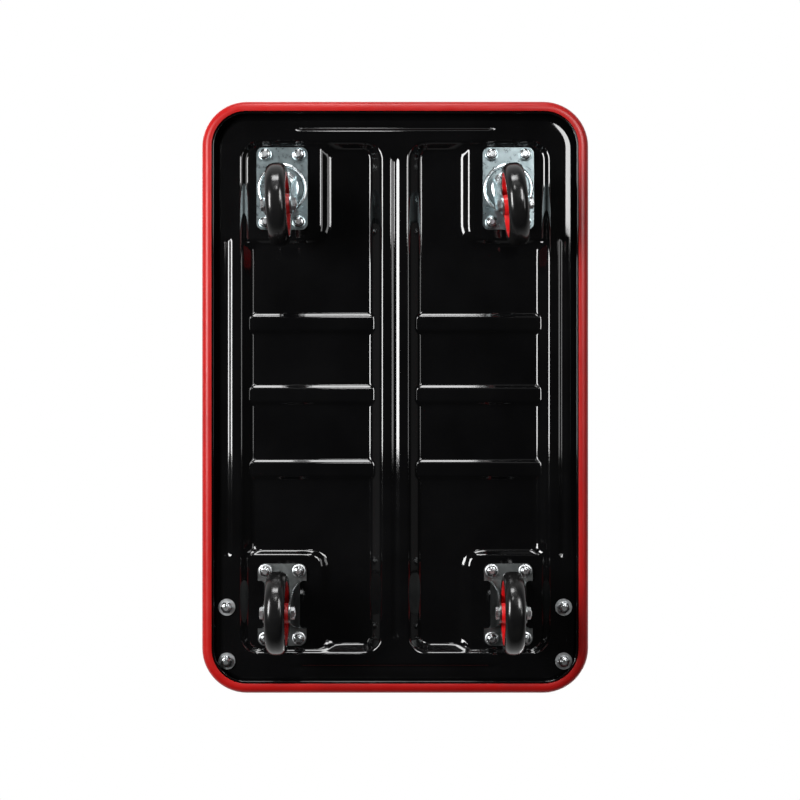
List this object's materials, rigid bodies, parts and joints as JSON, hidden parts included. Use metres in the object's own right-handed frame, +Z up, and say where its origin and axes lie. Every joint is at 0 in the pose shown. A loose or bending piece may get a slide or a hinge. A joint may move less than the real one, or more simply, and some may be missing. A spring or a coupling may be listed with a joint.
{
  "type": "folding platform truck",
  "caption": "Flat platform truck with a pressed black steel deck, red edge bumper, swivel and rigid casters and a folding tubular push handle.",
  "frame": {"origin": "on the floor under the middle of the deck, with the truck standing on its wheels and the handle up", "axes": "+Z up, +Y towards the handle end, which is the end with the rigid casters, +X towards the left side of the person at the handle"},
  "size_m": [0.482, 0.738, 0.8218],
  "materials": {
    "deck_enamel": "gloss",
    "handle_enamel": "gloss",
    "bracket_enamel": "gloss",
    "mat_vinyl": "matte, ribbed",
    "bumper_vinyl": "satin",
    "zinc_pressings": "bright zinc plate",
    "zinc_fasteners": "bright zinc plate",
    "bare_steel": "oiled",
    "tyre_rubber": "satin",
    "wheel_plastic": "satin",
    "black_plastic": "matte"
  },
  "bodies": {
    "frame": {"deck": "deck_enamel", "bumper": "bumper_vinyl", "deck_mat": "mat_vinyl", "caster_bolts": "zinc_fasteners", "caster_nuts": "zinc_fasteners", "bracket_bolts": "zinc_fasteners", "bracket_washers": "zinc_fasteners", "bracket_nuts": "zinc_fasteners", "handle_pivot_bolts": "zinc_fasteners", "handle_pivot_nuts": "zinc_fasteners", "swivel_plate_left": "zinc_pressings", "kingpin_left": "bare_steel", "rigid_fork_left": "zinc_pressings", "axle_sleeve_rear_left": "bare_steel", "axle_bolt_rear_left": "zinc_fasteners", "axle_nut_rear_left": "zinc_fasteners", "handle_bracket_left": "bracket_enamel", "swivel_plate_right": "zinc_pressings", "kingpin_right": "bare_steel", "rigid_fork_right": "zinc_pressings", "axle_sleeve_rear_right": "bare_steel", "axle_bolt_rear_right": "zinc_fasteners", "axle_nut_rear_right": "zinc_fasteners", "handle_bracket_right": "bracket_enamel"},
    "swivel_left": {"swivel_fork_left": "zinc_pressings", "swivel_balls_left": "bare_steel", "axle_sleeve_front_left": "bare_steel", "axle_bolt_front_left": "zinc_fasteners", "axle_nut_front_left": "zinc_fasteners"},
    "wheel_front_left": {"tyre_front_left": "tyre_rubber", "wheel_centre_front_left": "wheel_plastic"},
    "wheel_rear_left": {"tyre_rear_left": "tyre_rubber", "wheel_centre_rear_left": "wheel_plastic"},
    "swivel_right": {"swivel_fork_right": "zinc_pressings", "swivel_balls_right": "bare_steel", "axle_sleeve_front_right": "bare_steel", "axle_bolt_front_right": "zinc_fasteners", "axle_nut_front_right": "zinc_fasteners"},
    "wheel_front_right": {"tyre_front_right": "tyre_rubber", "wheel_centre_front_right": "wheel_plastic"},
    "wheel_rear_right": {"tyre_rear_right": "tyre_rubber", "wheel_centre_rear_right": "wheel_plastic"},
    "handle": {"handle_tube": "handle_enamel", "handle_plugs": "black_plastic"}
  },
  "joints": [
    {"name": "swivel_left_turn", "type": "hinge", "parent": "frame", "child": "swivel_left", "pos_m": [0.1421, -0.2622, 0.1175], "axis": [0, 0, 1], "continuous": true},
    {"name": "wheel_front_left_spin", "type": "hinge", "parent": "swivel_left", "child": "wheel_front_left", "pos_m": [0.14496, -0.23254, 0.05], "axis": [0.9954, -0.0958, 0], "continuous": true},
    {"name": "wheel_rear_left_spin", "type": "hinge", "parent": "frame", "child": "wheel_rear_left", "pos_m": [0.1421, 0.2604, 0.05], "axis": [1, 0, 0], "continuous": true},
    {"name": "swivel_right_turn", "type": "hinge", "parent": "frame", "child": "swivel_right", "pos_m": [-0.1421, -0.2622, 0.1175], "axis": [0, 0, 1], "continuous": true},
    {"name": "wheel_front_right_spin", "type": "hinge", "parent": "swivel_right", "child": "wheel_front_right", "pos_m": [-0.14075, -0.23243, 0.05], "axis": [0.999, -0.0454, 0], "continuous": true},
    {"name": "wheel_rear_right_spin", "type": "hinge", "parent": "frame", "child": "wheel_rear_right", "pos_m": [-0.1421, 0.2604, 0.05], "axis": [1, 0, 0], "continuous": true},
    {"name": "handle_fold", "type": "hinge", "parent": "frame", "child": "handle", "pos_m": [0, 0.3065, 0.1605], "axis": [1, 0, 0], "range_deg": [0, 93]}
  ]
}
